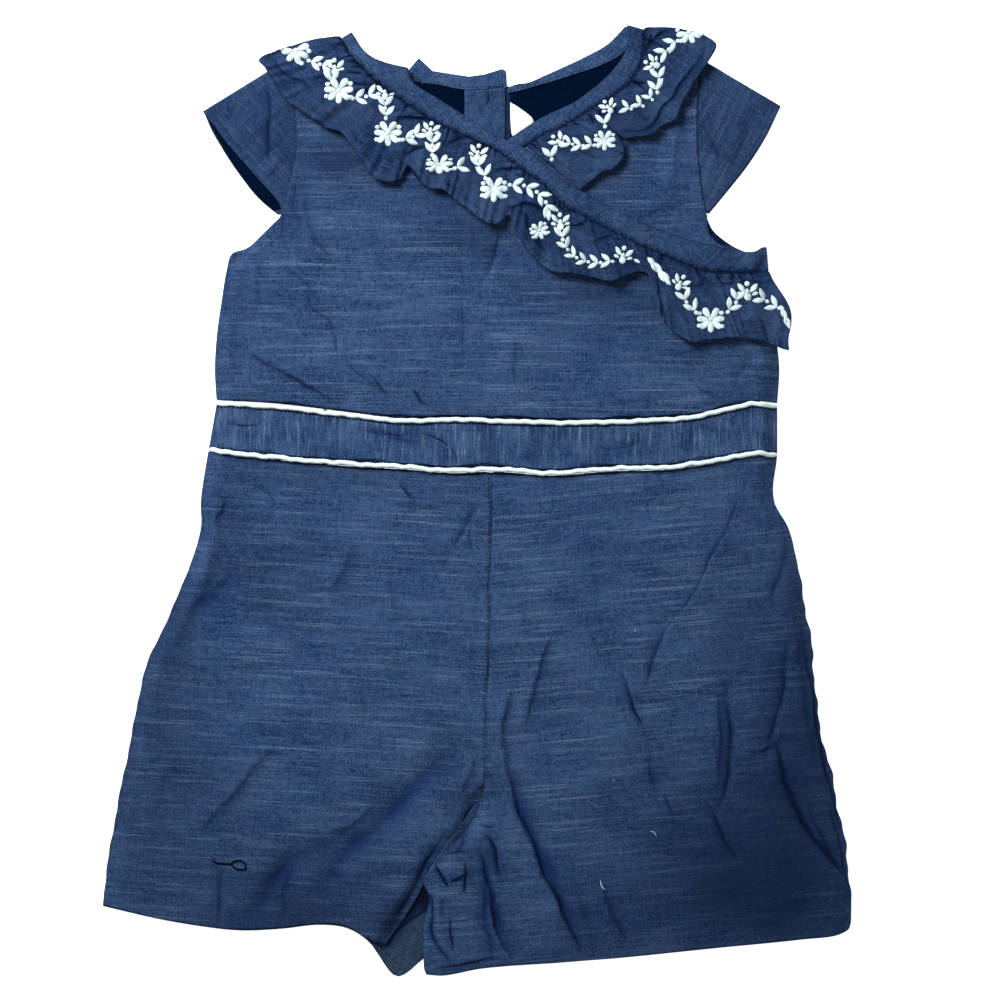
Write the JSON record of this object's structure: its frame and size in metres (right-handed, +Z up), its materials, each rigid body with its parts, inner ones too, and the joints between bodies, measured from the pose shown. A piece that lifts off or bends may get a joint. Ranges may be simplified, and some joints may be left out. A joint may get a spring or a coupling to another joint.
{
  "type": "baby romper",
  "caption": "Wrap romper for a baby, laid flat: ruffled surplice neck, folded cap sleeves, piped waistband and short legs",
  "frame": {"origin": "on the surface the romper lies on, under the middle of its outline", "axes": "+Y towards the neck, +X towards the wearer's left, +Z up out of the front"},
  "size_m": [0.3739, 0.4752, 0.0137],
  "materials": {
    "chambray": "navy slub cotton chambray, matt with a soft sheen",
    "lining": "plain near-black navy cotton lining",
    "white_trim": "white cotton cord and satin-stitch thread",
    "label": "plain white woven tape"
  },
  "bodies": {
    "root": {"bodice_back_left": "chambray", "bodice_back_right": "chambray", "bodice_front_over": "chambray", "bodice_front_under": "chambray", "neck_band_back_left": "chambray", "neck_band_back_right": "chambray", "neck_band_over": "chambray", "neck_band_under": "chambray", "placket_facing": "chambray", "ruffle_over": "chambray", "ruffle_under": "chambray", "shorts_back_left": "chambray", "shorts_back_right": "chambray", "shorts_front_left": "chambray", "shorts_front_right": "chambray", "sleeve_left": "chambray", "sleeve_right": "chambray", "waistband_back": "chambray", "waistband_front": "chambray", "lining_left": "lining", "lining_right": "lining", "sleeve_lining_left": "lining", "sleeve_lining_right": "lining", "piping_front_upper": "white_trim", "piping_front_lower": "white_trim", "piping_back_upper": "white_trim", "piping_back_lower": "white_trim", "neck_label": "label"}
  },
  "joints": []
}
